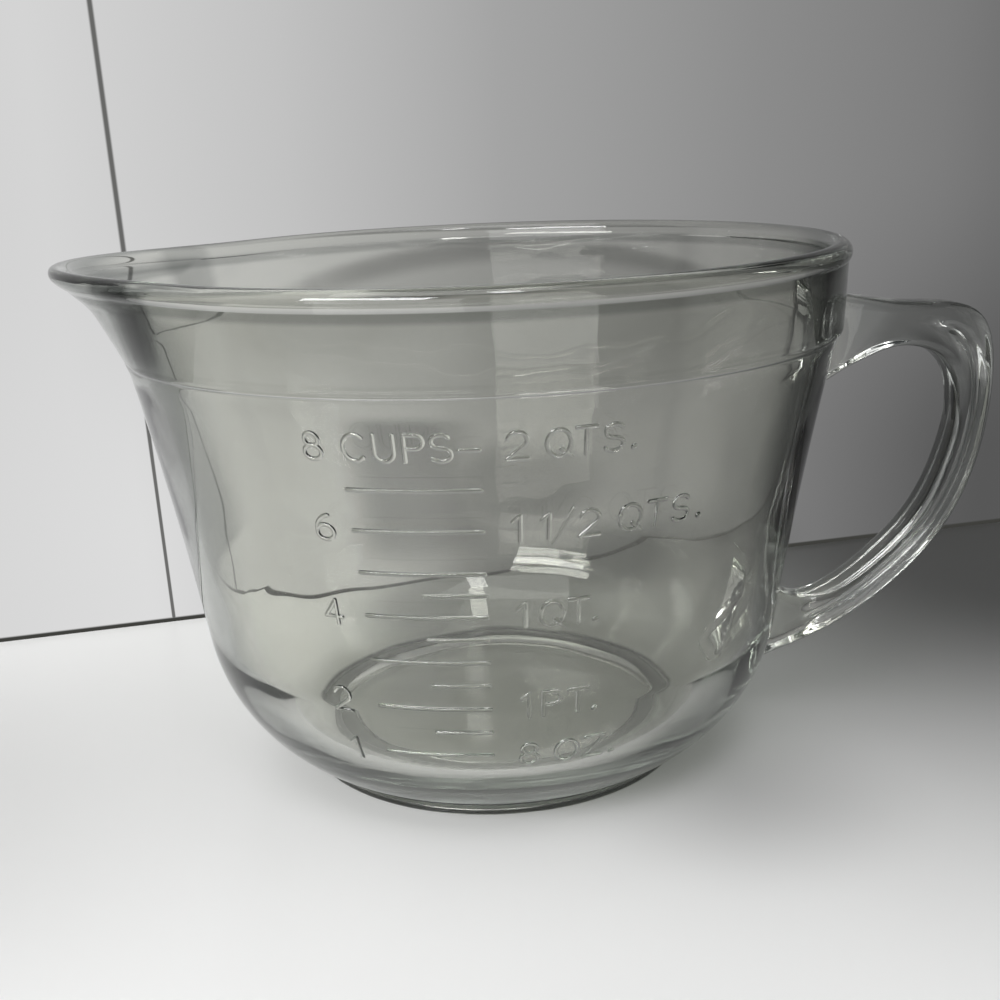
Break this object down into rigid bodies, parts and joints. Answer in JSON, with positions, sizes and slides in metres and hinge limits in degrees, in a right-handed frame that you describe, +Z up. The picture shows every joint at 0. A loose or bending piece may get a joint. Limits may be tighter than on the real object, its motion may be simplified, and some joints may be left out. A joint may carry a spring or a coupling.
{
  "type": "batter bowl",
  "caption": "Clear pressed-glass batter bowl with a pouring spout, a loop handle, a ledge under its collar and raised measuring lines on the wall.",
  "frame": {"origin": "centre of the foot ring's resting plane, on the bowl's axis", "axes": "+Z up along the bowl's axis, +X towards the handle, -X towards the spout, the measuring lines face -Y"},
  "size_m": [0.2626, 0.2, 0.1442],
  "materials": {
    "clear_glass": "clear pressed soda-lime glass, fire-polished, faint grey-green tint",
    "raised_marks": "raised lines of the same clear glass"
  },
  "bodies": {
    "root": {"bowl_bottom": "clear_glass", "bowl_wall": "clear_glass", "rim_collar": "clear_glass", "pouring_spout": "clear_glass", "handle": "clear_glass", "foot_ring": "clear_glass", "cup_lines": "raised_marks", "half_cup_lines": "raised_marks"}
  },
  "joints": []
}
